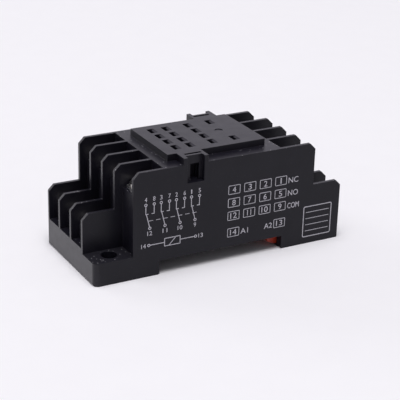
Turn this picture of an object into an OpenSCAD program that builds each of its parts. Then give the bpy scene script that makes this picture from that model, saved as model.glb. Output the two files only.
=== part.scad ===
// Relay socket with two tiers of screw terminals, fourteen contacts and a rail latch.
// X runs across the mounting rail, Y along it, and Z points from the rail to the relay.
// The origin is the middle of the underside of the feet.

/* [Body] */
// Length of the body along X
body_l = 72; // [71:0.5:76]
// Width of the body along Y
body_w = 29.5; // [29:0.5:32]
// Thickness of the outer walls
wall = 1.4; // [1.3:0.1:1.6]
// Radius of the upright corners beside the mounting holes
hole_corner_r = 1.5; // [0.8:0.1:2]
// Radius of the other upright corners
corner_r = 0.3; // [0.2:0.1:0.8]
// Chamfer on the lower edges of the feet
foot_chamfer = 0.3; // [0.2:0.1:0.8]
// Depth of the recess that takes the base cover
recess_z = 5; // [4.6:0.1:5.2]

/* [Tiers] */
// Height of the ledge in front of the lower terminals
ledge_z = 7.4; // [7:0.1:8]
// Height of the floor round a mounting hole
hole_floor_z = 6.15; // [6:0.05:6.6]
// Top of the lower barriers
tier_1_z = 16.8; // [16.4:0.1:18]
// Top of the upper barriers and of the shelf round the relay seat
tier_2_z = 28.5; // [28.2:0.1:30]
// Distance from the ends of the lower barriers to the ends of the upper ones
tier_step = 8.8; // [8.6:0.1:9]
// Distance from the ends of the upper barriers to the core
bay_depth = 10.2; // [10:0.1:10.4]
// Distance from the ends of the upper barriers to the outer wall beside a mounting hole
short_wall_step = 1.7; // [1.5:0.1:1.8]
// Thickness of a barrier between two terminals
barrier_t = 0.95; // [0.8:0.05:1]
// Chamfer on the upper corner of a barrier
barrier_chamfer = 1.6; // [1:0.1:2]

/* [Terminals] */
// Top of the lower terminal plates
plate_1_z = 11; // [10.6:0.1:11.4]
// Top of the upper terminal plates
plate_2_z = 22.3; // [22:0.1:22.8]
// Distance from the end of a barrier to the face of the block beside it
block_setback = 2.25; // [2:0.05:2.4]
// Thickness of the wall at the face of a block
block_wall = 0.9; // [0.7:0.1:1]
// Distance from the face of a block to the middle of its screw
screw_inset = 3.4; // [3.3:0.1:3.6]
// Length of a terminal plate along X
plate_l = 6.2; // [5.8:0.1:6.3]
// Gap between a terminal plate and the barrier beside it
plate_gap = 0.5; // [0.4:0.05:0.7]
// Thickness of the contact strip
strip_t = 0.6; // [0.5:0.05:0.7]
// Width of the contact strip
strip_w = 2; // [1.8:0.1:2.2]
// Gap between a contact and the wall of its shaft
contact_fit = 0.15; // [0.1:0.05:0.2]
// Outside radius of the threaded collar under a plate
collar_r = 2.1; // [2:0.05:2.2]
// Height of the threaded collar under a plate
collar_h = 1.2; // [1:0.1:1.5]

/* [Screws] */
// Radius of the screw's shank
shank_r = 1.45; // [1.4:0.01:1.5]
// Length of the screw under its head
screw_l = 6.5; // [6:0.1:6.6]
// Gap between the screw's head and the barrier beside it
head_gap = 0.35; // [0.3:0.05:0.5]
// Height of the screw's head
head_h = 1.6; // [1.4:0.1:2.2]
// Chamfer round the head
head_chamfer = 0.6; // [0.4:0.05:0.8]
// Width of the cross recess
recess_w = 0.75; // [0.6:0.05:0.9]
// Length of the cross recess
recess_l = 3.9; // [3.4:0.1:4.2]
// Depth of the cross recess
recess_h = 1; // [0.8:0.1:1.2]
// Radial gap between the shank and the thread or the washer
thread_fit = 0.06; // [0.03:0.01:0.09]
// Length of a clamp washer along X
washer_l = 5.7; // [5.6:0.1:6]
// Gap between a clamp washer and the barrier beside it
washer_gap = 0.3; // [0.25:0.05:0.5]
// Thickness of a clamp washer
washer_t = 0.9; // [0.8:0.05:1]
// Chamfer on the washer's upper edges
washer_chamfer = 0.3; // [0.2:0.05:0.4]
// Radius of the washer's upright corners
washer_corner_r = 1; // [0.6:0.1:1.2]

/* [Relay seat] */
// Top of the relay seat
seat_z = 30.3; // [30.2:0.1:31.5]
// Length of the relay seat along X
seat_l = 28.2; // [28:0.1:28.4]
// Width of the relay seat along Y
seat_w = 21.1; // [20.8:0.1:21.4]
// Thickness of the deck over the contact clips
deck_t = 2.4; // [2:0.1:2.6]
// Distance between neighbouring pins across the socket
pin_pitch = 4.4; // [4.3:0.05:4.5]
// Distance from the middle of the body to the first row of pins
pin_row_1_x = 10.05; // [9.8:0.05:10.1]
// Distance from the first row of pins to the second
pin_row_gap_1 = 4.15; // [4:0.05:4.2]
// Distance from the second row of pins to the third
pin_row_gap_2 = 6.4; // [6.3:0.05:6.6]
// Distance from the third row of pins to the coil's row
pin_row_gap_3 = 6.5; // [6.4:0.05:6.6]
// Width of a pin slot along X
slot_w = 1.4; // [1.3:0.05:1.5]
// Length of a pin slot along Y
slot_l = 3; // [2.9:0.05:3.1]
// Extra width of a pin slot at the top of its lead-in
slot_lead = 0.6; // [0.5:0.05:0.7]
// Depth of the lead-in
slot_lead_h = 0.3; // [0.2:0.05:0.4]
// Outside width of a contact clip along X
clip_w = 2.2; // [2:0.05:2.3]
// Length of a contact clip along Y
clip_l = 2.5; // [2.3:0.1:2.6]
// Height of a contact clip
clip_h = 5; // [4.5:0.1:5.4]
// Thickness of a clip's leaf
leaf_t = 0.45; // [0.4:0.05:0.5]
// Gap between the bend in a contact's strip and the clip beside it
bend_gap = 0.4; // [0.3:0.05:0.5]
// Radius of the round mark between the coil's slots
mark_r = 1.1; // [0.9:0.1:1.3]
// Depth of the round mark
mark_h = 0.15; // [0.1:0.05:0.3]
// Place of the round mark along X
mark_x = 6.4; // [6.2:0.1:6.8]

/* [Clip brackets] */
// Place of a bracket's middle along X, from the middle of the body
bracket_x = 8.15; // [7.9:0.05:8.4]
// Length of a bracket along X
bracket_l = 6.9; // [6.7:0.1:7.3]
// Length of the recess in a bracket's outer face
bracket_recess_l = 4.8; // [4.6:0.1:5]
// Depth of the recess in a bracket's outer face
bracket_recess_d = 1.5; // [1.3:0.1:1.6]
// Bottom of the recess and of the clip slit
bracket_recess_z = 23.5; // [23.3:0.1:24]
// Length of the clip slit
slit_l = 4.7; // [4.5:0.1:4.8]
// Distance from the middle of a bracket to the middle of its slit and window
slit_shift = 0.35; // [0.1:0.05:0.4]
// Width of the clip slit
slit_w = 0.8; // [0.7:0.05:0.9]
// Thickness of the web between the recess and the slit
slit_web = 0.75; // [0.7:0.05:0.8]
// Length of the window in that web
window_l = 2.5; // [2.2:0.1:2.8]
// Height of the window in that web
window_h = 4.5; // [4.2:0.1:4.7]
// Depth of the pocket behind the slit, for the foot of the clip
foot_pocket_d = 1.2; // [1:0.1:1.4]

/* [Mounting] */
// Distance from the end of the body to the middle of a mounting hole
hole_inset_x = 5.8; // [5.6:0.1:6]
// Distance from the side of the body to the middle of a mounting hole
hole_inset_y = 4.1; // [4:0.05:4.2]
// Radius of a mounting hole
hole_r = 2.1; // [2:0.05:2.25]
// Radius of the boss round a mounting hole
boss_r = 3.6; // [3.4:0.1:3.7]
// Width of the channel for a 35 mm rail
rail_gap = 36.1; // [35.9:0.1:36.4]
// Depth of the rail channel
rail_z = 3.7; // [3.6:0.1:3.9]

/* [Base cover] */
// Gap between the cover and the recess
cover_fit = 0.1; // [0.05:0.05:0.15]
// Thickness of the cover's plates
cover_t = 1.2; // [1:0.05:1.25]
// Thickness of the plate under the latch
foot_floor_t = 0.5; // [0.4:0.05:0.55]
// Height of the cover's feet inside the body
foot_h = 4.2; // [4:0.1:4.4]
// Reach of the fixed rail hook
hook_reach = 1.8; // [1.4:0.1:2]
// Chamfer on the fixed rail hook
hook_chamfer = 0.6; // [0.4:0.1:0.8]
// Width of the fixed rail hook along Y
hook_w = 22; // [18:0.5:23]
// Length of a snap lug along X
lug_l = 4; // [3:0.5:4.5]
// Height of a snap lug
lug_h = 0.9; // [0.7:0.1:1]
// Reach of a snap lug into the side wall
lug_d = 0.5; // [0.4:0.05:0.6]
// Distance from the top of a foot to the snap lugs
lug_drop = 0.1; // [0.1:0.05:0.2]
// Distance from the rail channel to the middle of a snap lug
lug_inset = 4.35; // [4:0.05:4.5]

/* [Rail latch] */
// Travel of the latch
latch_travel = 3; // [2.8:0.1:3.4]
// Height of the latch's underside
latch_z = 0.6; // [0.6:0.01:0.65]
// Thickness of the latch
latch_t = 2; // [1.8:0.05:2]
// Reach of the latch's hook under the rail
latch_reach = 2.75; // [2.5:0.05:2.8]
// Length of the wide part of the latch behind its hook
latch_back_l = 3.75; // [3.5:0.05:4]
// Width of the latch's hook along Y
latch_w = 24.6; // [24:0.1:24.6]
// Width of the latch's tongue along Y
tongue_w = 6.8; // [6:0.1:7]
// Gap between the end of the tongue and the end of the body
tongue_setback = 0.3; // [0.2:0.1:0.6]
// Gap round the latch in its guide
latch_fit = 0.2; // [0.1:0.05:0.2]
// Length of the screwdriver slot in the tongue
pull_slot_l = 4.4; // [4:0.1:4.6]
// Width of the screwdriver slot in the tongue
pull_slot_w = 1.4; // [1.2:0.1:1.6]
// Outside radius of a latch spring
spring_r = 0.9; // [0.8:0.02:0.9]
// Radius of the spring's wire
spring_wire_r = 0.14; // [0.12:0.01:0.16]
// Number of turns of a latch spring
spring_turns = 9; // [7:1:10]
// Gap between a latch spring and the tongue
spring_gap = 0.7; // [0.6:0.05:0.8]
// Length of a latch spring at rest
spring_l = 7.8; // [7.4:0.1:8.2]

/* [Hidden] */
$fn = 48;
eps = 0.01;
cut = 1;
half_l = body_l / 2;
half_w = body_w / 2;
tier_2_end = half_l - tier_step;
core_x = tier_2_end - bay_depth;
short_wall_end = tier_2_end - short_wall_step;
bay_pitch = (body_w - barrier_t) / 4;
bay_w = bay_pitch - barrier_t;
plate_w = bay_w - 2 * plate_gap;
washer_w = bay_w - 2 * washer_gap;
head_r = bay_w / 2 - head_gap;
hole_x = half_l - hole_inset_x;
hole_y = half_w - hole_inset_y;
block_1_x = half_l - block_setback;
block_2_x = tier_2_end - block_setback;
rail_x = rail_gap / 2;
pin_rows = [
    -pin_row_1_x,
    -pin_row_1_x + pin_row_gap_1,
    -pin_row_1_x + pin_row_gap_1 + pin_row_gap_2,
    -pin_row_1_x + pin_row_gap_1 + pin_row_gap_2 + pin_row_gap_3
];
clip_top_z = seat_z - deck_t - contact_fit;
jog_x = pin_rows[0] - clip_w / 2 - strip_w / 2 - bend_gap;
coil_jog_x = pin_rows[2] + clip_w / 2 + strip_w / 2 + bend_gap;
cover_l = body_l - 2 * (wall + cover_fit);
cover_w = body_w - 2 * (wall + cover_fit);
latch_top_z = latch_z + latch_t;
guide_top_z = latch_top_z + latch_fit;
lug_x = rail_x + lug_inset;
lug_z = foot_h - lug_h - lug_drop;
latch_tip_x = rail_x - latch_reach;
latch_shoulder_x = rail_x + latch_back_l;
spring_seat_x = latch_shoulder_x + spring_l;
spring_y = tongue_w / 2 + spring_gap + spring_r;
tongue_end_x = half_l - tongue_setback;
slit_y = half_w - bracket_recess_d - slit_web - slit_w / 2;
thread_r = shank_r + thread_fit;

// The fourteen contacts: row and column of the pin, end of the body, tier and bay.
CONTACTS = [
    [0, 3, -1, 2, 3],
    [0, 2, -1, 2, 2],
    [0, 1, -1, 2, 1],
    [0, 0, -1, 2, 0],
    [1, 3, -1, 1, 3],
    [1, 2, -1, 1, 2],
    [1, 1, 1, 1, 1],
    [1, 0, -1, 1, 1],
    [2, 3, 1, 2, 3],
    [2, 2, 1, 2, 2],
    [2, 1, 1, 2, 1],
    [2, 0, 1, 2, 0],
    [3, 3, 1, 1, 2],
    [3, 0, 1, 1, 0]
];

function two_digits(n) = n < 10 ? str("0", n) : str(n);
function numbered(name) = [for (n = [1:14]) str(name, two_digits(n))];

function bay_y(bay) = (bay - 1.5) * bay_pitch;
function pin_x(c) = pin_rows[c[0]];
function pin_y(c) = (c[1] - 1.5) * pin_pitch;
function block_x(c) = c[3] == 2 ? block_2_x : block_1_x;
function plate_z(c) = c[3] == 2 ? plate_2_z : plate_1_z;
function plate_end(c) = block_x(c) - block_wall - contact_fit;
function screw_x(c) = c[2] * (block_x(c) - screw_inset);
function passes_coil(c) = c[0] == 2 && (c[1] == 0 || c[1] == 3);
function bend_x(c) = passes_coil(c) ? coil_jog_x : -c[2] * jog_x;

module between(x1, x2, y1, y2) {
    translate([min(x1, x2), min(y1, y2)]) square([abs(x2 - x1), abs(y2 - y1)]);
}

module slab(x1, x2, y1, y2, z1, z2) {
    translate([0, 0, z1]) linear_extrude(z2 - z1) between(x1, x2, y1, y2);
}

// An outline in X and Z, given a width along Y.
module side_profile(points, y1, y2) {
    translate([0, y2, 0]) rotate([90, 0, 0]) linear_extrude(y2 - y1) polygon(points);
}

module both_ends() {
    for (turn = [0, 180]) rotate([0, 0, turn]) children();
}

// ---------- Housing ----------

module corner_waste(r) {
    difference() {
        translate([-cut, -cut]) square(r + cut);
        translate([r, r]) circle(r = r);
    }
}

module body_plan() {
    difference() {
        square([body_l, body_w], center = true);
        for (turn = [0, 180]) rotate(turn) {
            translate([-half_l, -half_w]) corner_waste(hole_corner_r);
            translate([-half_l, half_w]) rotate(-90) corner_waste(corner_r);
        }
    }
}

module base_block() {
    side_profile(
        [
            [-half_l + foot_chamfer, 0],
            [-half_l, foot_chamfer],
            [-half_l, hole_floor_z],
            [half_l, hole_floor_z],
            [half_l, foot_chamfer],
            [half_l - foot_chamfer, 0],
            [rail_x + foot_chamfer, 0],
            [rail_x, foot_chamfer],
            [rail_x, rail_z],
            [-rail_x, rail_z],
            [-rail_x, foot_chamfer],
            [-rail_x - foot_chamfer, 0]
        ],
        -half_w, half_w
    );
}

// The ledge, the lower blocks and the upper blocks at the -X end.
module terminal_blocks() {
    hole_bay_y = -half_w + bay_pitch;
    slab(-half_l, -block_2_x, hole_bay_y, half_w, rail_z, ledge_z);
    slab(-block_1_x, -block_2_x, hole_bay_y, half_w, rail_z, plate_1_z);
    slab(-block_2_x, 0, -half_w, half_w, rail_z, plate_2_z);
}

module stepped_barrier(y) {
    side_profile(
        [
            [0, rail_z],
            [-half_l, rail_z],
            [-half_l, tier_1_z - barrier_chamfer],
            [-half_l + barrier_chamfer, tier_1_z],
            [-tier_2_end, tier_1_z],
            [-tier_2_end, tier_2_z - barrier_chamfer],
            [-tier_2_end + barrier_chamfer, tier_2_z],
            [0, tier_2_z]
        ],
        y - barrier_t / 2, y + barrier_t / 2
    );
}

module short_barrier(y) {
    side_profile(
        [
            [0, rail_z],
            [-short_wall_end, rail_z],
            [-short_wall_end, tier_2_z - barrier_chamfer],
            [-short_wall_end + barrier_chamfer, tier_2_z],
            [0, tier_2_z]
        ],
        y - barrier_t / 2, y + barrier_t / 2
    );
}

module barriers() {
    short_barrier(-2 * bay_pitch);
    for (i = [-1:2]) stepped_barrier(i * bay_pitch);
}

module bracket_block() {
    slab(
        -bracket_x - bracket_l / 2, -bracket_x + bracket_l / 2,
        -half_w, 0, plate_2_z, seat_z
    );
}

// The pocket in a bracket: outer recess, window and slit for the relay's holding clip.
module bracket_pocket() {
    web_y = -half_w + bracket_recess_d;
    translate([-bracket_x, 0, 0]) {
        slab(
            -bracket_recess_l / 2, bracket_recess_l / 2,
            -half_w - cut, web_y, bracket_recess_z, seat_z + cut
        );
        slab(
            slit_shift - window_l / 2, slit_shift + window_l / 2,
            web_y - eps, web_y + slit_web + slit_w + foot_pocket_d,
            bracket_recess_z, bracket_recess_z + window_h
        );
        slab(
            slit_shift - slit_l / 2, slit_shift + slit_l / 2,
            -slit_y - slit_w / 2, -slit_y + slit_w / 2, bracket_recess_z, seat_z + cut
        );
    }
}

module pin_slot(c) {
    x1 = pin_x(c) - slot_w / 2;
    x2 = pin_x(c) + slot_w / 2;
    side_profile(
        [
            [x1, seat_z - deck_t - cut],
            [x2, seat_z - deck_t - cut],
            [x2, seat_z - slot_lead_h],
            [x2 + slot_lead, seat_z],
            [x2 + slot_lead, seat_z + cut],
            [x1, seat_z + cut]
        ],
        pin_y(c) - slot_l / 2, pin_y(c) + slot_l / 2
    );
}

// The shaft that a contact goes up from below. It opens through the block over the plate.
module contact_shaft(c) {
    translate([0, 0, recess_z - cut]) linear_extrude(plate_z(c) + contact_fit - recess_z + cut)
        contact_plan(c, contact_fit);
    slab(
        pin_x(c) - clip_w / 2 - contact_fit, pin_x(c) + clip_w / 2 + contact_fit,
        pin_y(c) - slot_l / 2, pin_y(c) + slot_l / 2,
        recess_z - cut, seat_z - deck_t
    );
}

module mounting_hole() {
    translate([-hole_x, -hole_y, -cut]) cylinder(r = hole_r, h = hole_floor_z + 2 * cut);
}

module cover_recess() {
    inner_x = half_l - wall;
    inner_y = half_w - wall;
    difference() {
        slab(-inner_x, inner_x, -inner_y, inner_y, -cut, recess_z);
        both_ends() translate([-hole_x, -hole_y, -2 * cut])
            cylinder(r = boss_r, h = recess_z + 3 * cut);
    }
}

module lug_pockets() {
    for (x = [-lug_x, lug_x])
        slab(
            x - lug_l / 2 - cover_fit, x + lug_l / 2 + cover_fit,
            -half_w + wall - lug_d - cover_fit, half_w - wall + lug_d + cover_fit,
            lug_z - cover_fit, lug_z + lug_h + cover_fit
        );
}

module tongue_notch() {
    slab(
        half_l - wall - cut, half_l + cut,
        -tongue_w / 2 - latch_fit, tongue_w / 2 + latch_fit, -cut, guide_top_z
    );
}

module round_mark() {
    translate([mark_x, 0, seat_z - mark_h]) cylinder(r = mark_r, h = mark_h + cut);
}

module housing_outside() {
    intersection() {
        union() {
            base_block();
            both_ends() terminal_blocks();
            both_ends() barriers();
            slab(-core_x, core_x, -half_w, half_w, rail_z, tier_2_z);
        }
        linear_extrude(seat_z) body_plan();
    }
    slab(-seat_l / 2, seat_l / 2, -seat_w / 2, seat_w / 2, plate_2_z, seat_z);
    both_ends() bracket_block();
}

module housing() {
    color([0.13, 0.13, 0.14]) difference() {
        housing_outside();
        cover_recess();
        for (c = CONTACTS) contact_shaft(c);
        for (c = CONTACTS) pin_slot(c);
        both_ends() bracket_pocket();
        both_ends() mounting_hole();
        lug_pockets();
        tongue_notch();
        round_mark();
    }
}

// ---------- Contacts ----------

// A contact's outline from above, grown by a gap to give its shaft.
module contact_plan(c, gap = 0) {
    half_strip = strip_w / 2 + gap;
    plate_x = c[2] * plate_end(c);
    between(
        plate_x + c[2] * gap, plate_x - c[2] * (plate_l + gap),
        bay_y(c[4]) - plate_w / 2 - gap, bay_y(c[4]) + plate_w / 2 + gap
    );
    between(plate_x - c[2] * plate_l, bend_x(c), bay_y(c[4]) - half_strip, bay_y(c[4]) + half_strip);
    between(
        bend_x(c) - half_strip, bend_x(c) + half_strip,
        min(bay_y(c[4]), pin_y(c)) - half_strip, max(bay_y(c[4]), pin_y(c)) + half_strip
    );
    between(bend_x(c), pin_x(c), pin_y(c) - half_strip, pin_y(c) + half_strip);
}

// The two leaves that grip a relay pin, with a flared mouth and a web under them.
module contact_clip(c) {
    half_clip = clip_w / 2;
    bottom = clip_top_z - clip_h;
    flare = leaf_t / 2;
    translate([pin_x(c), 0, 0]) difference() {
        slab(
            -half_clip, half_clip,
            pin_y(c) - clip_l / 2, pin_y(c) + clip_l / 2, bottom, clip_top_z
        );
        side_profile(
            [
                [-half_clip + leaf_t, bottom + leaf_t],
                [half_clip - leaf_t, bottom + leaf_t],
                [slot_w / 4, clip_top_z - 3 * leaf_t],
                [slot_w / 4, clip_top_z - 2 * leaf_t],
                [slot_w / 2 + flare, clip_top_z + eps],
                [-slot_w / 2 - flare, clip_top_z + eps],
                [-slot_w / 4, clip_top_z - 2 * leaf_t],
                [-slot_w / 4, clip_top_z - 3 * leaf_t]
            ],
            pin_y(c) - clip_l, pin_y(c) + clip_l
        );
    }
}

module contact(c) {
    color([0.78, 0.66, 0.38]) difference() {
        union() {
            translate([0, 0, plate_z(c) - strip_t]) linear_extrude(strip_t) contact_plan(c);
            slab(
                pin_x(c) - strip_t / 2, pin_x(c) + strip_t / 2,
                pin_y(c) - strip_w / 2, pin_y(c) + strip_w / 2,
                plate_z(c) - strip_t, clip_top_z - clip_h + leaf_t
            );
            contact_clip(c);
            translate([screw_x(c), bay_y(c[4]), plate_z(c) - strip_t - collar_h])
                cylinder(r = collar_r, h = collar_h + eps);
        }
        translate([screw_x(c), bay_y(c[4]), plate_z(c) - strip_t - collar_h - cut])
            cylinder(r = thread_r, h = strip_t + collar_h + 2 * cut);
    }
}

// ---------- Screws and washers ----------

module washer_plan() {
    difference() {
        square([washer_l, washer_w], center = true);
        for (turn = [0, 180]) rotate(turn) {
            translate([-washer_l / 2, -washer_w / 2]) corner_waste(washer_corner_r);
            translate([-washer_l / 2, washer_w / 2]) rotate(-90) corner_waste(washer_corner_r);
        }
    }
}

module clamp_washer(c) {
    half_washer = washer_l / 2;
    color([0.75, 0.75, 0.73]) translate([screw_x(c), bay_y(c[4]), plate_z(c)]) difference() {
        intersection() {
            side_profile(
                [
                    [-half_washer, 0],
                    [half_washer, 0],
                    [half_washer, washer_t - washer_chamfer],
                    [half_washer - washer_chamfer, washer_t],
                    [-half_washer + washer_chamfer, washer_t],
                    [-half_washer, washer_t - washer_chamfer]
                ],
                -washer_w / 2, washer_w / 2
            );
            linear_extrude(washer_t) washer_plan();
        }
        translate([0, 0, -cut]) cylinder(r = thread_r, h = washer_t + 2 * cut);
    }
}

module terminal_screw(c) {
    color([0.8, 0.8, 0.78])
        translate([screw_x(c), bay_y(c[4]), plate_z(c) + washer_t]) difference() {
            rotate_extrude() polygon([
                [0, -screw_l],
                [shank_r - head_chamfer, -screw_l],
                [shank_r, -screw_l + head_chamfer],
                [shank_r, 0],
                [head_r, 0],
                [head_r, head_h - head_chamfer],
                [head_r - head_chamfer, head_h],
                [0, head_h]
            ]);
            for (turn = [0, 90]) rotate([0, 0, turn])
                slab(
                    -recess_l / 2, recess_l / 2,
                    -recess_w / 2, recess_w / 2, head_h - recess_h, head_h + cut
                );
        }
}

// ---------- Base cover ----------

module cover_foot_left() {
    slab(-cover_l / 2, -rail_x, -cover_w / 2, cover_w / 2, 0, cover_t);
    slab(-rail_x - cover_t, -rail_x, -cover_w / 2, cover_w / 2, 0, recess_z - cover_fit);
    for (side = [-1, 1])
        slab(
            -cover_l / 2, -rail_x,
            side * cover_w / 2, side * (cover_w / 2 - cover_t), 0, foot_h
        );
    side_profile(
        [
            [-rail_x - eps, cover_t],
            [-rail_x + hook_reach - hook_chamfer, cover_t - hook_chamfer],
            [-rail_x + hook_reach, cover_t],
            [-rail_x + hook_reach, latch_top_z - hook_chamfer],
            [-rail_x - eps, latch_top_z]
        ],
        -hook_w / 2, hook_w / 2
    );
}

// The right foot is a flat tunnel that guides the latch and holds its springs.
module cover_foot_right() {
    difference() {
        union() {
            slab(rail_x, cover_l / 2, -cover_w / 2, cover_w / 2, 0, foot_h);
            slab(rail_x, rail_x + cover_t, -cover_w / 2, cover_w / 2, 0, recess_z - cover_fit);
        }
        slab(
            rail_x - cut, latch_shoulder_x + latch_travel + latch_fit,
            -latch_w / 2 - latch_fit, latch_w / 2 + latch_fit, foot_floor_t, guide_top_z
        );
        slab(
            rail_x, spring_seat_x,
            -spring_y - spring_r - latch_fit, spring_y + spring_r + latch_fit,
            foot_floor_t, guide_top_z
        );
        slab(
            rail_x, half_l,
            -tongue_w / 2 - latch_fit, tongue_w / 2 + latch_fit, foot_floor_t, guide_top_z
        );
        slab(
            tongue_end_x - 2.5 * pull_slot_w, half_l,
            -tongue_w / 2 - latch_fit, tongue_w / 2 + latch_fit, -cut, guide_top_z
        );
    }
}

module snap_lugs() {
    for (x = [-lug_x, lug_x], side = [-1, 1])
        slab(
            x - lug_l / 2, x + lug_l / 2,
            side * (cover_w / 2 - eps), side * (half_w - wall + lug_d), lug_z, lug_z + lug_h
        );
}

module base_cover() {
    color([0.16, 0.16, 0.17]) difference() {
        union() {
            slab(
                -rail_x - eps, rail_x + eps,
                -cover_w / 2, cover_w / 2, rail_z, recess_z - cover_fit
            );
            cover_foot_left();
            cover_foot_right();
            snap_lugs();
        }
        both_ends() translate([-hole_x, -hole_y, -cut])
            cylinder(r = boss_r + cover_fit, h = recess_z + 2 * cut);
    }
}

// ---------- Rail latch ----------

module rail_latch() {
    ramp = latch_t / 2;
    color([0.8, 0.25, 0.08]) difference() {
        union() {
            side_profile(
                [
                    [latch_tip_x, latch_top_z],
                    [latch_tip_x, latch_top_z - ramp],
                    [latch_tip_x + 2 * ramp, latch_z],
                    [latch_shoulder_x, latch_z],
                    [latch_shoulder_x, latch_top_z]
                ],
                -latch_w / 2, latch_w / 2
            );
            slab(
                latch_shoulder_x - latch_t / 2, tongue_end_x,
                -tongue_w / 2, tongue_w / 2, latch_z, latch_top_z
            );
        }
        translate([tongue_end_x - 1.5 * pull_slot_w, 0, 0])
            slab(
                -pull_slot_w / 2, pull_slot_w / 2,
                -pull_slot_l / 2, pull_slot_l / 2, 0, latch_top_z + cut
            );
    }
}

// A wire coil along X from x1 to x2, as rings of six points swept along a helix.
module wire_coil(x1, x2) {
    sides = 6;
    steps_per_turn = 12;
    steps = spring_turns * steps_per_turn;
    mid_r = spring_r - spring_wire_r;
    reach = x2 - x1 - 2 * spring_wire_r;
    points = [
        for (i = [0:steps], j = [0:sides - 1])
            let (
                turn = 360 * i / steps_per_turn,
                side = 360 * j / sides,
                r = mid_r + spring_wire_r * cos(side)
            )
            [
                x1 + spring_wire_r + reach * i / steps + spring_wire_r * sin(side),
                r * cos(turn),
                r * sin(turn)
            ]
    ];
    walls = [
        for (i = [0:steps - 1], j = [0:sides - 1])
            let (k = (j + 1) % sides)
            [i * sides + j, (i + 1) * sides + j, (i + 1) * sides + k, i * sides + k]
    ];
    start_cap = [[for (j = [0:sides - 1]) j]];
    end_cap = [[for (j = [sides - 1:-1:0]) steps * sides + j]];
    polyhedron(points, concat(walls, start_cap, end_cap));
}

module latch_spring(side) {
    color([0.7, 0.7, 0.72])
        translate([0, side * spring_y, (foot_floor_t + guide_top_z) / 2])
            wire_coil(latch_shoulder_x, spring_seat_x);
}

// ---------- Nodes ----------

housing();
base_cover();
rail_latch();
latch_spring(-1);  // latch_spring_1
latch_spring(1);  // latch_spring_2
for (n = [1:14]) {
    contact(CONTACTS[n - 1]);
    clamp_washer(CONTACTS[n - 1]);
    terminal_screw(CONTACTS[n - 1]);
}
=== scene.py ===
"""The looks of a relay socket: black body, plated screws and washers, acetal latch and pad-printed marks."""

import math

import bmesh
import bpy
from mathutils import Matrix, Vector


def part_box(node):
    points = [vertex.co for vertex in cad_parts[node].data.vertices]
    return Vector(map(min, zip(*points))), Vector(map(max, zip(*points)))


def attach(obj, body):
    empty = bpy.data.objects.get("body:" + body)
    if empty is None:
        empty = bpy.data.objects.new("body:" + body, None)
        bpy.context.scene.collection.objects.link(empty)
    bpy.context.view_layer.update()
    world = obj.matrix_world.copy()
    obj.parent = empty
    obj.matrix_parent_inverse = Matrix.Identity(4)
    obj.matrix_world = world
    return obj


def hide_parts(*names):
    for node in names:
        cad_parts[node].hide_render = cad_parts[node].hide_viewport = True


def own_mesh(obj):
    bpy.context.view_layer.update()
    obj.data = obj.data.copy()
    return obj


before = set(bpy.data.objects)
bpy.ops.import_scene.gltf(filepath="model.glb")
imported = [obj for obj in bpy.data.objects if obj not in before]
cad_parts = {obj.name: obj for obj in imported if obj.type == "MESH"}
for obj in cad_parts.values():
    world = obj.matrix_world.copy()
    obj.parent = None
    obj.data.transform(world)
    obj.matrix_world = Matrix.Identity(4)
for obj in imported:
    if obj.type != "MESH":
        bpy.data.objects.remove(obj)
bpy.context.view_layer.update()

MM = 0.001


# ---------- Helpers ----------


def linear(hex_colour):
    """An sRGB hex colour as linear red, green, blue and alpha."""
    parts = [int(hex_colour[i : i + 2], 16) / 255 for i in (1, 3, 5)]
    return tuple(c / 12.92 if c <= 0.04045 else ((c + 0.055) / 1.055) ** 2.4 for c in parts) + (1.0,)


def per_size(mm):
    """The scale at which one cell of a pattern is this many millimetres wide."""
    return 1 / (mm * MM)


def add(tree, kind, inputs=None, **settings):
    """A shader node with its settings. Each input takes a plain value or another node's socket."""
    made = tree.nodes.new(kind)
    for name, value in settings.items():
        setattr(made, name, value)
    for name, value in (inputs or {}).items():
        if isinstance(value, bpy.types.NodeSocket):
            tree.links.new(value, made.inputs[name])
        else:
            made.inputs[name].default_value = value
    return made


def start_material(name):
    """An empty material with its node tree and its object coordinates."""
    material = bpy.data.materials.new(name)
    material.use_nodes = True
    tree = material.node_tree
    tree.nodes.clear()
    return material, tree, add(tree, "ShaderNodeTexCoord").outputs["Object"]


def show(name, mesh, material):
    """A finished bmesh as an object of its own, in the scene and with its material."""
    data = bpy.data.meshes.new(name)
    mesh.to_mesh(data)
    mesh.free()
    data.materials.append(material)
    shown = bpy.data.objects.new(name, data)
    bpy.context.scene.collection.objects.link(shown)
    return shown


# ---------- Materials ----------

# The grey of rubbed edges, which also serves as a painted edge highlight.
RUB_AND_HIGHLIGHT_GREY = "#4a494d"
DUST_GREY = "#a09ea4"
# The film of dust in the mounting corners thins out between these heights.
FILM_FULL = 6.5 * MM
FILM_TOP = 7 * MM
SHANK_RADIUS = 1.6 * MM
THREAD_PITCH = 0.5 * MM
HEADER_RING_MM = 0.18
# Blender's wave texture at scale 1.
WAVES_PER_UNIT = 20 / math.tau


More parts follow.
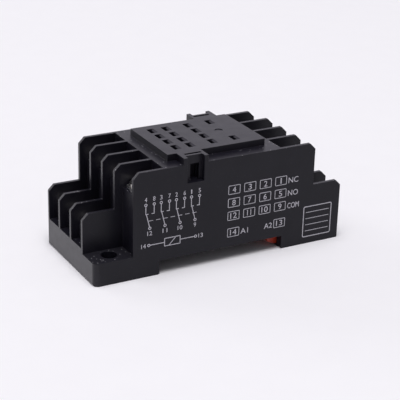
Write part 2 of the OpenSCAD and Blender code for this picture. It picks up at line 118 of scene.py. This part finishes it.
def moulded_plastic(name, base, drift, rough, grain_mm, dust_share):
    """Black glass-filled polyamide out of a spark-eroded steel mould.

    The eye gets a fine even grain, a slow drift between two blacks, softly rounded edges that
    catch the light, edges and corners painted slightly grey as rub and as a painted highlight, and the pale
    dust that such parts always carry.
    """
    material, tree, place = start_material(name)
    # Edges leave the mould with a radius of about a tenth of a millimetre.
    soft = add(tree, "ShaderNodeBevel", {"Radius": 0.09 * MM}, samples=6).outputs["Normal"]
    # Glass fibre and flow give clouds 6 mm wide.
    clouds = add(
        tree, "ShaderNodeTexNoise", {"Vector": place, "Scale": per_size(6), "Detail": 3.0, "Roughness": 0.6}
    )
    cloud = add(tree, "ShaderNodeMapRange", {0: clouds.outputs["Fac"], 1: 0.35, 2: 0.65}).outputs[0]
    colour = add(
        tree, "ShaderNodeMix", {0: cloud, 6: linear(base), 7: linear(drift)}, data_type="RGBA"
    ).outputs[2]
    # Edges and corners are painted a little grey: partly rub, partly a painted highlight like the light lines
    # that rounded edges catch.
    flat = add(tree, "ShaderNodeNewGeometry").outputs["Normal"]
    turn = add(tree, "ShaderNodeVectorMath", {0: soft, 1: flat}, operation="DOT_PRODUCT").outputs["Value"]
    rub_and_highlight = add(tree, "ShaderNodeMapRange", {0: turn, 1: 0.995, 2: 0.85, 3: 0.0, 4: 0.1}).outputs[0]
    colour = add(
        tree, "ShaderNodeMix", {0: rub_and_highlight, 6: colour, 7: linear(RUB_AND_HIGHLIGHT_GREY)}, data_type="RGBA"
    ).outputs[2]
    # Dust lies in specks of 0.1 to 0.3 mm, mostly on what faces up. The seat on top is wiped by the relay.
    cells = add(tree, "ShaderNodeTexVoronoi", {"Vector": place, "Scale": per_size(0.8)})
    speck = add(tree, "ShaderNodeMapRange", {0: cells.outputs["Distance"], 1: 0.2, 2: 0.12}).outputs[0]
    height = add(tree, "ShaderNodeSeparateXYZ", {0: place}).outputs["Z"]
    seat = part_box("housing")[1].z
    share = add(
        tree,
        "ShaderNodeMapRange",
        {0: height, 1: seat - MM, 2: seat - 0.5 * MM, 3: 1 - dust_share, 4: 1 - dust_share / 20},
    ).outputs[0]
    chosen = add(
        tree, "ShaderNodeMath", {0: cells.outputs["Color"], 1: share}, operation="GREATER_THAN"
    ).outputs[0]
    tilt = add(tree, "ShaderNodeSeparateXYZ", {0: flat}).outputs["Z"]
    facing_up = add(tree, "ShaderNodeMapRange", {0: tilt, 1: 0.1, 2: 0.9, 3: 0.02, 4: 1.0}).outputs[0]
    dust = add(tree, "ShaderNodeMath", {0: speck, 1: chosen}, operation="MULTIPLY").outputs[0]
    dust = add(tree, "ShaderNodeMath", {0: dust, 1: facing_up}, operation="MULTIPLY").outputs[0]
    # A film of it stays on the floors of the mounting corners, where nothing wipes it off.
    low = add(tree, "ShaderNodeMapRange", {0: height, 1: FILM_TOP, 2: FILM_FULL, 3: 0.0, 4: 0.02}).outputs[0]
    film = add(tree, "ShaderNodeMath", {0: low, 1: facing_up}, operation="MULTIPLY").outputs[0]
    dust = add(tree, "ShaderNodeMath", {0: dust, 1: film}, operation="MAXIMUM").outputs[0]
    colour = add(tree, "ShaderNodeMix", {0: dust, 6: colour, 7: linear(DUST_GREY)}, data_type="RGBA").outputs[2]
    # The eroded grain over a faint orange peel.
    peel = add(tree, "ShaderNodeTexNoise", {"Vector": place, "Scale": per_size(0.8), "Detail": 2.0})
    grain = add(tree, "ShaderNodeTexNoise", {"Vector": place, "Scale": per_size(grain_mm), "Detail": 3.0})
    normal = add(
        tree,
        "ShaderNodeBump",
        {"Height": peel.outputs["Fac"], "Distance": 0.012 * MM, "Strength": 0.4, "Normal": soft},
    ).outputs[0]
    normal = add(
        tree,
        "ShaderNodeBump",
        {"Height": grain.outputs["Fac"], "Distance": 0.004 * MM, "Strength": 0.5, "Normal": normal},
    ).outputs[0]
    sheen = add(tree, "ShaderNodeTexNoise", {"Vector": place, "Scale": per_size(2.4), "Detail": 3.0})
    roughness = add(
        tree, "ShaderNodeMapRange", {0: sheen.outputs["Fac"], 1: 0.3, 2: 0.7, 3: rough - 0.02, 4: rough + 0.03}
    ).outputs[0]
    shader = add(
        tree,
        "ShaderNodeBsdfPrincipled",
        {"Base Color": colour, "Roughness": roughness, "Normal": normal, "Specular IOR Level": 0.235},
    )
    add(tree, "ShaderNodeOutputMaterial", {"Surface": shader.outputs[0]})
    return material


def acetal(name, base, deep):
    """Orange acetal, moulded and a little waxy.

    The eye gets light that goes a short way into the plastic, a soft sheen and faint streaks of pigment.
    """
    material, tree, place = start_material(name)
    soft = add(tree, "ShaderNodeBevel", {"Radius": 0.15 * MM}, samples=6).outputs["Normal"]
    # Pigment streaks run along the flow, 3 mm wide.
    along = add(tree, "ShaderNodeMapping", {"Vector": place, "Scale": (0.4, 1.0, 1.0)}).outputs[0]
    streaks = add(tree, "ShaderNodeTexNoise", {"Vector": along, "Scale": per_size(3), "Detail": 3.0})
    streak = add(tree, "ShaderNodeMapRange", {0: streaks.outputs["Fac"], 1: 0.35, 2: 0.65}).outputs[0]
    colour = add(
        tree, "ShaderNodeMix", {0: streak, 6: linear(base), 7: linear(deep)}, data_type="RGBA"
    ).outputs[2]
    grain = add(tree, "ShaderNodeTexNoise", {"Vector": place, "Scale": per_size(0.2), "Detail": 3.0})
    normal = add(
        tree,
        "ShaderNodeBump",
        {"Height": grain.outputs["Fac"], "Distance": 0.008 * MM, "Strength": 0.5, "Normal": soft},
    ).outputs[0]
    roughness = add(
        tree, "ShaderNodeMapRange", {0: grain.outputs["Fac"], 1: 0.3, 2: 0.7, 3: 0.34, 4: 0.46}
    ).outputs[0]
    shader = add(
        tree,
        "ShaderNodeBsdfPrincipled",
        {
            "Base Color": colour,
            "Roughness": roughness,
            "Normal": normal,
            "Subsurface Weight": 0.12,
            "Subsurface Scale": 0.5 * MM,
        },
    )
    add(tree, "ShaderNodeOutputMaterial", {"Surface": shader.outputs[0]})
    return material


def plated_metal(name, base, stain, rough, line_mm, stretch, edge_mm=0.1):
    """Sheet, wire or bar under a thin plating.

    The rolling or drawing lines of the metal show through the plating as fine streaks along one
    direction, the plating clouds here and there, and the sheared edges shine.
    """
    material, tree, place = start_material(name)
    soft = add(tree, "ShaderNodeBevel", {"Radius": edge_mm * MM}, samples=6).outputs["Normal"]
    along = add(tree, "ShaderNodeMapping", {"Vector": place, "Scale": stretch}).outputs[0]
    lines = add(
        tree, "ShaderNodeTexNoise", {"Vector": along, "Scale": per_size(line_mm), "Detail": 4.0}
    ).outputs["Fac"]
    stains = add(tree, "ShaderNodeTexNoise", {"Vector": place, "Scale": per_size(1.6), "Detail": 4.0})
    cloudy = add(tree, "ShaderNodeMapRange", {0: stains.outputs["Fac"], 1: 0.42, 2: 0.7}).outputs[0]
    colour = add(
        tree, "ShaderNodeMix", {0: cloudy, 6: linear(base), 7: linear(stain)}, data_type="RGBA"
    ).outputs[2]
    roughness = add(
        tree, "ShaderNodeMapRange", {0: lines, 1: 0.3, 2: 0.7, 3: rough - 0.07, 4: rough + 0.1}
    ).outputs[0]
    normal = add(
        tree, "ShaderNodeBump", {"Height": lines, "Distance": 0.006 * MM, "Strength": 0.5, "Normal": soft}
    ).outputs[0]
    shader = add(
        tree,
        "ShaderNodeBsdfPrincipled",
        {"Base Color": colour, "Metallic": 1.0, "Roughness": roughness, "Normal": normal},
    )
    add(tree, "ShaderNodeOutputMaterial", {"Surface": shader.outputs[0]})
    return material


def turned_screw(name, base, stain):
    """Nickel-plated steel screws, headed and then rolled.

    The header leaves fine rings on the head, and the rolled thread runs round the shank at half a
    millimetre a turn. The screws stand in two rows at each end, so the space is folded onto one screw.
    """
    material, tree, place = start_material(name)
    soft = add(tree, "ShaderNodeBevel", {"Radius": 0.12 * MM}, samples=6).outputs["Normal"]
    upper = abs(sum(p.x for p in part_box("terminal_screw_01"))) / 2
    lower = abs(sum(p.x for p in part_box("terminal_screw_05"))) / 2
    first = sum(p.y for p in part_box("terminal_screw_04")) / 2
    pitch = sum(p.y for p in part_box("terminal_screw_03")) / 2 - first
    axes = add(tree, "ShaderNodeSeparateXYZ", {0: place}).outputs
    side = add(tree, "ShaderNodeMath", {0: axes["X"]}, operation="ABSOLUTE").outputs[0]
    side = add(tree, "ShaderNodeMath", {0: side, 1: (upper + lower) / 2}, operation="SUBTRACT").outputs[0]
    side = add(tree, "ShaderNodeMath", {0: side}, operation="ABSOLUTE").outputs[0]
    across = add(tree, "ShaderNodeMath", {0: side, 1: (lower - upper) / 2}, operation="SUBTRACT").outputs[0]
    along = add(tree, "ShaderNodeMath", {0: axes["Y"], 1: first}, operation="SUBTRACT").outputs[0]
    along = add(tree, "ShaderNodeMath", {0: along, 1: pitch / 2, 2: -pitch / 2}, operation="WRAP").outputs[0]
    own = add(tree, "ShaderNodeCombineXYZ", {0: across, 1: along, 2: 0.0}).outputs[0]
    radius = add(tree, "ShaderNodeVectorMath", {0: own}, operation="LENGTH").outputs["Value"]
    # The header's rings.
    rings = add(
        tree,
        "ShaderNodeTexWave",
        {"Vector": own, "Scale": per_size(HEADER_RING_MM) / WAVES_PER_UNIT, "Distortion": 0.6, "Detail": 1.0},
        wave_type="RINGS",
        rings_direction="Z",
    ).outputs["Fac"]
    # The thread's ridges, which show only on the shank.
    angle = add(tree, "ShaderNodeMath", {0: along, 1: across}, operation="ARCTAN2").outputs[0]
    rise = add(tree, "ShaderNodeMath", {0: angle, 1: THREAD_PITCH / math.tau}, operation="MULTIPLY").outputs[0]
    climb = add(tree, "ShaderNodeMath", {0: axes["Z"], 1: rise}, operation="SUBTRACT").outputs[0]
    ridge = add(tree, "ShaderNodeMath", {0: climb, 1: THREAD_PITCH / 2}, operation="PINGPONG").outputs[0]
    on_shank = add(
        tree, "ShaderNodeMapRange", {0: radius, 1: SHANK_RADIUS + 0.05 * MM, 2: SHANK_RADIUS - 0.05 * MM}
    ).outputs[0]
    thread = add(tree, "ShaderNodeMath", {0: ridge, 1: on_shank}, operation="MULTIPLY").outputs[0]
    stains = add(tree, "ShaderNodeTexNoise", {"Vector": place, "Scale": per_size(1.3), "Detail": 4.0})
    cloudy = add(tree, "ShaderNodeMapRange", {0: stains.outputs["Fac"], 1: 0.42, 2: 0.7}).outputs[0]
    colour = add(
        tree, "ShaderNodeMix", {0: cloudy, 6: linear(base), 7: linear(stain)}, data_type="RGBA"
    ).outputs[2]
    normal = add(
        tree, "ShaderNodeBump", {"Height": rings, "Distance": 0.006 * MM, "Strength": 0.6, "Normal": soft}
    ).outputs[0]
    normal = add(
        tree, "ShaderNodeBump", {"Height": thread, "Distance": 1.0, "Strength": 0.8, "Normal": normal}
    ).outputs[0]
    roughness = add(
        tree, "ShaderNodeMapRange", {0: stains.outputs["Fac"], 1: 0.3, 2: 0.7, 3: 0.2, 4: 0.36}
    ).outputs[0]
    shader = add(
        tree,
        "ShaderNodeBsdfPrincipled",
        {"Base Color": colour, "Metallic": 1.0, "Roughness": roughness, "Normal": normal},
    )
    add(tree, "ShaderNodeOutputMaterial", {"Surface": shader.outputs[0]})
    return material


def pad_ink(name, full, thin):
    """Pale pad-printing ink: matt, and thinner in spots where the grain under it shows."""
    material, tree, place = start_material(name)
    spots = add(tree, "ShaderNodeTexNoise", {"Vector": place, "Scale": per_size(0.16), "Detail": 3.0})
    cover = add(tree, "ShaderNodeMapRange", {0: spots.outputs["Fac"], 1: 0.28, 2: 0.6}).outputs[0]
    colour = add(
        tree, "ShaderNodeMix", {0: cover, 6: linear(thin), 7: linear(full)}, data_type="RGBA"
    ).outputs[2]
    normal = add(
        tree, "ShaderNodeBump", {"Height": spots.outputs["Fac"], "Distance": 0.006 * MM, "Strength": 0.5}
    ).outputs[0]
    roughness = add(
        tree, "ShaderNodeMapRange", {0: spots.outputs["Fac"], 1: 0.3, 2: 0.7, 3: 0.58, 4: 0.7}
    ).outputs[0]
    shader = add(
        tree,
        "ShaderNodeBsdfPrincipled",
        {"Base Color": colour, "Roughness": roughness, "Normal": normal, "Specular IOR Level": 0.3},
    )
    add(tree, "ShaderNodeOutputMaterial", {"Surface": shader.outputs[0]})
    return material


PAD_INK = pad_ink("pad_ink", "#cdcbd3", "#98969e")
FINISHES = {
    "housing": moulded_plastic(
        "black_polyamide", "#0f0e16", "#13121a", rough=0.38, grain_mm=0.14, dust_share=0.45
    ),
    "base_cover": moulded_plastic(
        "black_polyamide_cover", "#121216", "#16161a", rough=0.34, grain_mm=0.18, dust_share=0.05
    ),
    # The latch's orange is set darker than clean acetal, partly as painted shade for its place in the shaded
    # channel under the body.
    "rail_latch": acetal("orange_acetal", "#ae3112", "#94250d"),
    "latch_spring": plated_metal(
        "spring_wire", "#b9b8b6", "#8f8c88", rough=0.28, line_mm=0.08, stretch=(0.1, 1.0, 1.0), edge_mm=0.03
    ),
    "contact": plated_metal(
        "contact_brass", "#cbb27a", "#a88a4e", rough=0.32, line_mm=0.1, stretch=(0.06, 1.0, 1.0)
    ),
    "clamp_washer": plated_metal(
        "zinc_plated_washer", "#d6d7d6", "#aeaeab", rough=0.27, line_mm=0.16, stretch=(1.0, 0.08, 1.0)
    ),
    "terminal_screw": turned_screw("nickel_plated_screw", "#cfcdc8", "#a9a69f"),
}
for node_name, node_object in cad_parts.items():
    finish = FINISHES[next(key for key in FINISHES if node_name.startswith(key))]
    node_object.data.materials.clear()
    node_object.data.materials.append(finish)


def spring_coils():
    """Coils that stand for the springs' nodes, because they get shorter as the latch slides."""
    for node_name in ("latch_spring_1", "latch_spring_2"):
        coil = bpy.data.objects.new(node_name + "_coil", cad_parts[node_name].data.copy())
        bpy.context.scene.collection.objects.link(coil)
        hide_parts(node_name)
        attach(coil, "base")
        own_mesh(coil)


spring_coils()


# ---------- Print ----------
# Each mark is drawn flat, in millimetres along the wall and up from its foot. It is INK proud of
# the wall and reaches as far into it. The whole print then stands up against the front wall.

INK = 0.012
LINE = 0.165
# The plan of the terminals. Each row has its first number, its height, its word and the word's width.
BOX_WIDE = 3.52
BOX_TALL = 2.5
NUMBER_TALL = 1.56
COLUMNS = (3.12, 7.78, 12.44, 17.1)
ROWS = ((4, 19.55, "NC", 3.0), (8, 15.95, "NO", 3.1), (12, 12.35, "COM", 3.6))
# The wiring diagram.
DIAGRAM_LINE = 0.2
RING_RADIUS = 0.42
POLES = 4
POLE_PITCH = 4.25
DIAGRAM_DIGIT = 0.65
DIAGRAM_TALL = 1.15
DIAGRAM_BOLD = 0.01


def coat_height(ink):
    """A height a little off the last mark's, so that crossing strokes never share a face."""
    return INK * (2 + 0.04 * (len(ink.faces) % 23))


def lay(ink, mark):
    """Adds a finished mark to the print."""
    flat = bpy.data.meshes.new("mark")
    mark.to_mesh(flat)
    mark.free()
    ink.from_mesh(flat)
    bpy.data.meshes.remove(flat)


def stroke(ink, *points, width=LINE):
    """A line of ink through the points."""
    for start, end in zip(points, points[1:]):
        across, up = end[0] - start[0], end[1] - start[1]
        high = coat_height(ink)
        place = Matrix.Translation(((start[0] + end[0]) / 2, (start[1] + end[1]) / 2, high / 2 - INK))
        turn = Matrix.Rotation(math.atan2(up, across), 4, "Z")
        stretch = Matrix.Diagonal((math.hypot(across, up) + width, width, high, 1.0))
        bmesh.ops.create_cube(ink, size=1.0, matrix=place @ turn @ stretch)


def lay_band(ink, mark, width):
    """Keeps a band of this width along the edge of a flat shape, gives it its coat and lays it down."""
    high = coat_height(ink)
    inner = mark.faces[:]
    bmesh.ops.inset_region(mark, faces=inner, thickness=width, use_boundary=True, use_even_offset=True)
    bmesh.ops.delete(mark, geom=inner, context="FACES")
    bmesh.ops.solidify(mark, geom=mark.faces[:], thickness=high)
    bmesh.ops.recalc_face_normals(mark, faces=mark.faces[:])
    foot = min(corner.co.z for corner in mark.verts)
    bmesh.ops.translate(mark, verts=mark.verts[:], vec=(0, 0, -INK - foot))
    lay(ink, mark)


def box_outline(ink, left, foot, wide, tall, corner=0.28, width=LINE):
    """The outline of a box with round corners."""
    mark = bmesh.new()
    place = Matrix.Translation((left + wide / 2, foot + tall / 2, 0)) @ Matrix.Diagonal((wide, tall, 1.0, 1.0))
    bmesh.ops.create_grid(mark, x_segments=1, y_segments=1, size=0.5, matrix=place)
    bmesh.ops.bevel(
        mark, geom=mark.verts[:], offset=corner, segments=4, profile=0.5, affect="VERTICES", material=-1
    )
    lay_band(ink, mark, width)


def ring(ink, across, up):
    """A small circle, as terminals have in wiring diagrams."""
    mark = bmesh.new()
    bmesh.ops.create_circle(
        mark, cap_ends=True, radius=RING_RADIUS, segments=20, matrix=Matrix.Translation((across, up, 0))
    )
    lay_band(ink, mark, DIAGRAM_LINE)


def words(ink, text, left, foot, wide, tall, bold=0.006):
    """Plain lettering in a given box. It is laid down twice, a hair apart, for the weight of printed type."""
    for step in (-bold, bold):
        high = coat_height(ink)
        type_curve = bpy.data.curves.new("type", "FONT")
        type_curve.body = text
        type_curve.extrude = 0.5
        type_curve.resolution_u = 4
        type_object = bpy.data.objects.new("type", type_curve)
        type_mesh = bpy.data.meshes.new_from_object(type_object)
        bpy.data.objects.remove(type_object)
        low = Vector(min(p.co[i] for p in type_mesh.vertices) for i in range(3))
        size = Vector(max(p.co[i] for p in type_mesh.vertices) for i in range(3)) - low
        squeeze = Matrix.Diagonal(((wide - 2 * bold) / size.x, tall / size.y, high / size.z, 1.0))
        corner = Matrix.Translation((left + bold + step, foot, -INK))
        type_mesh.transform(corner @ squeeze @ Matrix.Translation(-low))
        ink.from_mesh(type_mesh)
        bpy.data.meshes.remove(type_mesh)


def numbered_box(ink, across, up, number):
    """A terminal's number in its box, with the box's middle at across, up. A one is narrower than the rest."""
    wide = {1: 0.36, 11: 1.2}.get(number, 1.0 if number < 10 else 1.9)
    box_outline(ink, across - BOX_WIDE / 2, up - BOX_TALL / 2, BOX_WIDE, BOX_TALL)
    words(ink, str(number), across - wide / 2, up - NUMBER_TALL / 2, wide, NUMBER_TALL)


def terminal_plan(ink):
    """The plan of the terminals: three rows of four, and the coil's two."""
    for first, up, name, wide in ROWS:
        for i, across in enumerate(COLUMNS):
            numbered_box(ink, across, up, first - i)
        words(ink, name, 19.4, up - 1.05, wide, 1.55)
    numbered_box(ink, 3.22, 7.65, 14)
    words(ink, "A1", 5.4, 6.75, 2.25, 1.45)
    words(ink, "A2", 12.5, 6.75, 2.45, 1.45)
    numbered_box(ink, 17.15, 7.65, 13)


def small_number(ink, number, across, foot, wide):
    """A number in the diagram, with its middle at across."""
    words(ink, str(number), across - wide / 2, foot, wide, DIAGRAM_TALL, DIAGRAM_BOLD)


def wiring_diagram(ink, left, foot):
    """The usual diagram of a relay with four changeover contacts over its coil, with the terminals' numbers."""
    for i in range(POLES):
        # The common terminal, and the arm that leans against the normally closed one.
        across, up = left + 2.1 + POLE_PITCH * i, foot + 6.0
        ring(ink, across, up)
        stroke(ink, (across - 0.12, up + 0.5), (across - 0.95, up + 3.7), width=DIAGRAM_LINE)
        # The two fixed terminals, with the numbers over them.
        for side, number in ((-1, 4 - i), (1, 8 - i)):
            reach = across + 1.15 * side
            ring(ink, reach, up + 6.4)
            stroke(
                ink, (reach, up + 5.95), (reach, up + 3.9), (reach - 0.62 * side, up + 3.9), width=DIAGRAM_LINE
            )
            small_number(ink, number, reach, up + 7.25, 0.3 if number == 1 else DIAGRAM_DIGIT)
        small_number(ink, 12 - i, across, up - 1.95, DIAGRAM_DIGIT if i == 3 else 1.35)
    # The dashed line that couples the arms.
    for i in range(7):
        dash = left + 1.8 + 2.05 * i
        stroke(ink, (dash, foot + 8.0), (dash + 1.1, foot + 8.0), width=0.14)
    # The coil between its two terminals.
    box_outline(ink, left + 6.2, foot + 0.2, 4.6, 2.3, 0.1, DIAGRAM_LINE)
    stroke(ink, (left + 7.6, foot + 0.4), (left + 9.4, foot + 2.3), width=DIAGRAM_LINE)
    for outer, inner, number, side in ((2.4, 6.1, 14, -1), (14.6, 10.9, 13, 1)):
        stroke(ink, (left + outer, foot + 1.35), (left + inner, foot + 1.35), width=DIAGRAM_LINE)
        ring(ink, left + outer + 0.52 * side, foot + 1.35)
        small_number(ink, number, left + outer + 2.0 * side, foot + 0.78, 2 * DIAGRAM_DIGIT)


def marking_field(ink, left, foot, side):
    """An empty ruled field for the fitter's own mark."""
    box_outline(ink, left, foot, side, side, 0.5, 0.24)
    for i in range(1, 5):
        stroke(ink, (left + 0.9, foot + side * i / 5), (left + side - 0.9, foot + side * i / 5), width=0.16)


def print_front():
    """All the front wall's print as one thin piece on the body."""
    ink = bmesh.new()
    terminal_plan(ink)
    wiring_diagram(ink, -23.0, 7.3)
    marking_field(ink, 24.6, 1.9, 8.9)
    wall = Matrix.Translation((0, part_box("housing")[0].y, 0))
    upright = wall @ Matrix.Rotation(math.pi / 2, 4, "X") @ Matrix.Scale(MM, 4)
    bmesh.ops.transform(ink, matrix=upright, verts=ink.verts[:])
    piece = show("front_print", ink, PAD_INK)
    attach(piece, "base")


print_front()


# ---------- Floor, light and camera ----------


def make_floor(mirrored_glow):
    """A sheet of matt white card, 6 m square."""
    material, tree, place = start_material("white_card")
    fibres = add(tree, "ShaderNodeTexNoise", {"Vector": place, "Scale": per_size(9), "Detail": 4.0})
    tone = add(tree, "ShaderNodeMapRange", {0: fibres.outputs["Fac"], 1: 0.3, 2: 0.7}).outputs[0]
    colour = add(
        tree, "ShaderNodeMix", {0: tone, 6: linear("#f6f4f9"), 7: linear("#f7f5fa")}, data_type="RGBA"
    ).outputs[2]
    card_shader = add(
        tree, "ShaderNodeBsdfPrincipled", {"Base Color": colour, "Roughness": 0.95, "Specular IOR Level": 0.1}
    )
    # Glossy faces mirror a painted glow on the card beyond the socket's -X end: an emission that only
    # reflections see, which brightens what the end faces mirror.
    across = add(tree, "ShaderNodeSeparateXYZ", {0: place}).outputs["X"]
    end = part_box("housing")[0].x
    lit = add(tree, "ShaderNodeMapRange", {0: across, 1: end + 4 * MM, 2: end, 3: 0.0, 4: mirrored_glow}).outputs[0]
    glossy = add(tree, "ShaderNodeLightPath").outputs["Is Glossy Ray"]
    lit = add(tree, "ShaderNodeMath", {0: lit, 1: glossy}, operation="MULTIPLY").outputs[0]
    glow = add(tree, "ShaderNodeEmission", {"Color": linear("#fcf8ff"), "Strength": lit})
    both = add(tree, "ShaderNodeAddShader", {0: card_shader.outputs[0], 1: glow.outputs[0]})
    add(tree, "ShaderNodeOutputMaterial", {"Surface": both.outputs[0]})
    card = bmesh.new()
    bmesh.ops.create_grid(card, x_segments=1, y_segments=1, size=3.0)
    show("floor", card, material)


def make_lamp(name, place, side, brightness):
    """A square soft box that faces the socket. Its face is this many times as bright as a lit white wall."""
    data = bpy.data.lights.new(name, "AREA")
    data.shape = "SQUARE"
    data.size = side
    data.energy = brightness * math.pi * side * side
    lamp = bpy.data.objects.new(name, data)
    lamp.location = place
    lamp.rotation_mode = "QUATERNION"
    lamp.rotation_quaternion = Vector(place).to_track_quat("Z", "Y")
    bpy.context.scene.collection.objects.link(lamp)


def make_room(fill, mirrored):
    """A white room: its light on the socket, what glossy faces mirror, and the background."""
    world = bpy.data.worlds.new("room")
    world.use_nodes = True
    tree = world.node_tree
    tree.nodes.clear()
    path = add(tree, "ShaderNodeLightPath").outputs
    lit = add(tree, "ShaderNodeBackground", {"Color": linear("#fcfbff"), "Strength": fill})
    gloss = add(tree, "ShaderNodeBackground", {"Color": linear("#f7f2ff"), "Strength": mirrored})
    back = add(tree, "ShaderNodeBackground", {"Color": linear("#f6f4f9"), "Strength": 1.0})
    shiny = add(
        tree, "ShaderNodeMath", {0: path["Is Glossy Ray"], 1: path["Is Transmission Ray"]}, operation="MAXIMUM"
    ).outputs[0]
    room = add(tree, "ShaderNodeMixShader", {0: shiny, 1: lit.outputs[0], 2: gloss.outputs[0]})
    room = add(tree, "ShaderNodeMixShader", {0: path["Is Camera Ray"], 1: room.outputs[0], 2: back.outputs[0]})
    add(tree, "ShaderNodeOutputWorld", {"Surface": room.outputs[0]})
    bpy.context.scene.world = world


def make_camera(place, azimuth, elevation, roll, lens):
    """Azimuth 0 looks along +Y, elevation is the height above the horizon, and roll turns the picture."""
    a, e, r = (math.radians(angle) for angle in (azimuth, elevation, roll))
    back = Vector((math.sin(a) * math.cos(e), -math.cos(a) * math.cos(e), math.sin(e)))
    level = (-back).cross(Vector((0, 0, 1))).normalized()
    upright = level.cross(-back)
    right = math.cos(r) * level + math.sin(r) * upright
    up = -math.sin(r) * level + math.cos(r) * upright
    data = bpy.data.cameras.new("camera")
    data.sensor_width = 36
    data.lens = lens
    data.clip_start = 0.01
    data.clip_end = 10
    camera = bpy.data.objects.new("camera", data)
    camera.matrix_world = Matrix.Translation(place) @ Matrix((right, up, back)).transposed().to_4x4()
    bpy.context.scene.collection.objects.link(camera)
    bpy.context.scene.camera = camera


make_floor(mirrored_glow=0.55)
make_room(fill=0.22, mirrored=1.0)
make_lamp("top_lamp", (-0.25, -0.35, 2.4), side=1.7, brightness=5.6)
make_lamp("back_left_lamp", (-0.75, 1.3, 0.4), side=0.8, brightness=2.2)
make_lamp("back_lamp", (0.7, 1.25, 0.6), side=0.8, brightness=0.15)
make_camera((-0.1559, -0.282136, 0.146875), azimuth=-29.137, elevation=22.763, roll=1.569, lens=118.69)
bpy.context.scene.view_settings.view_transform = "Standard"
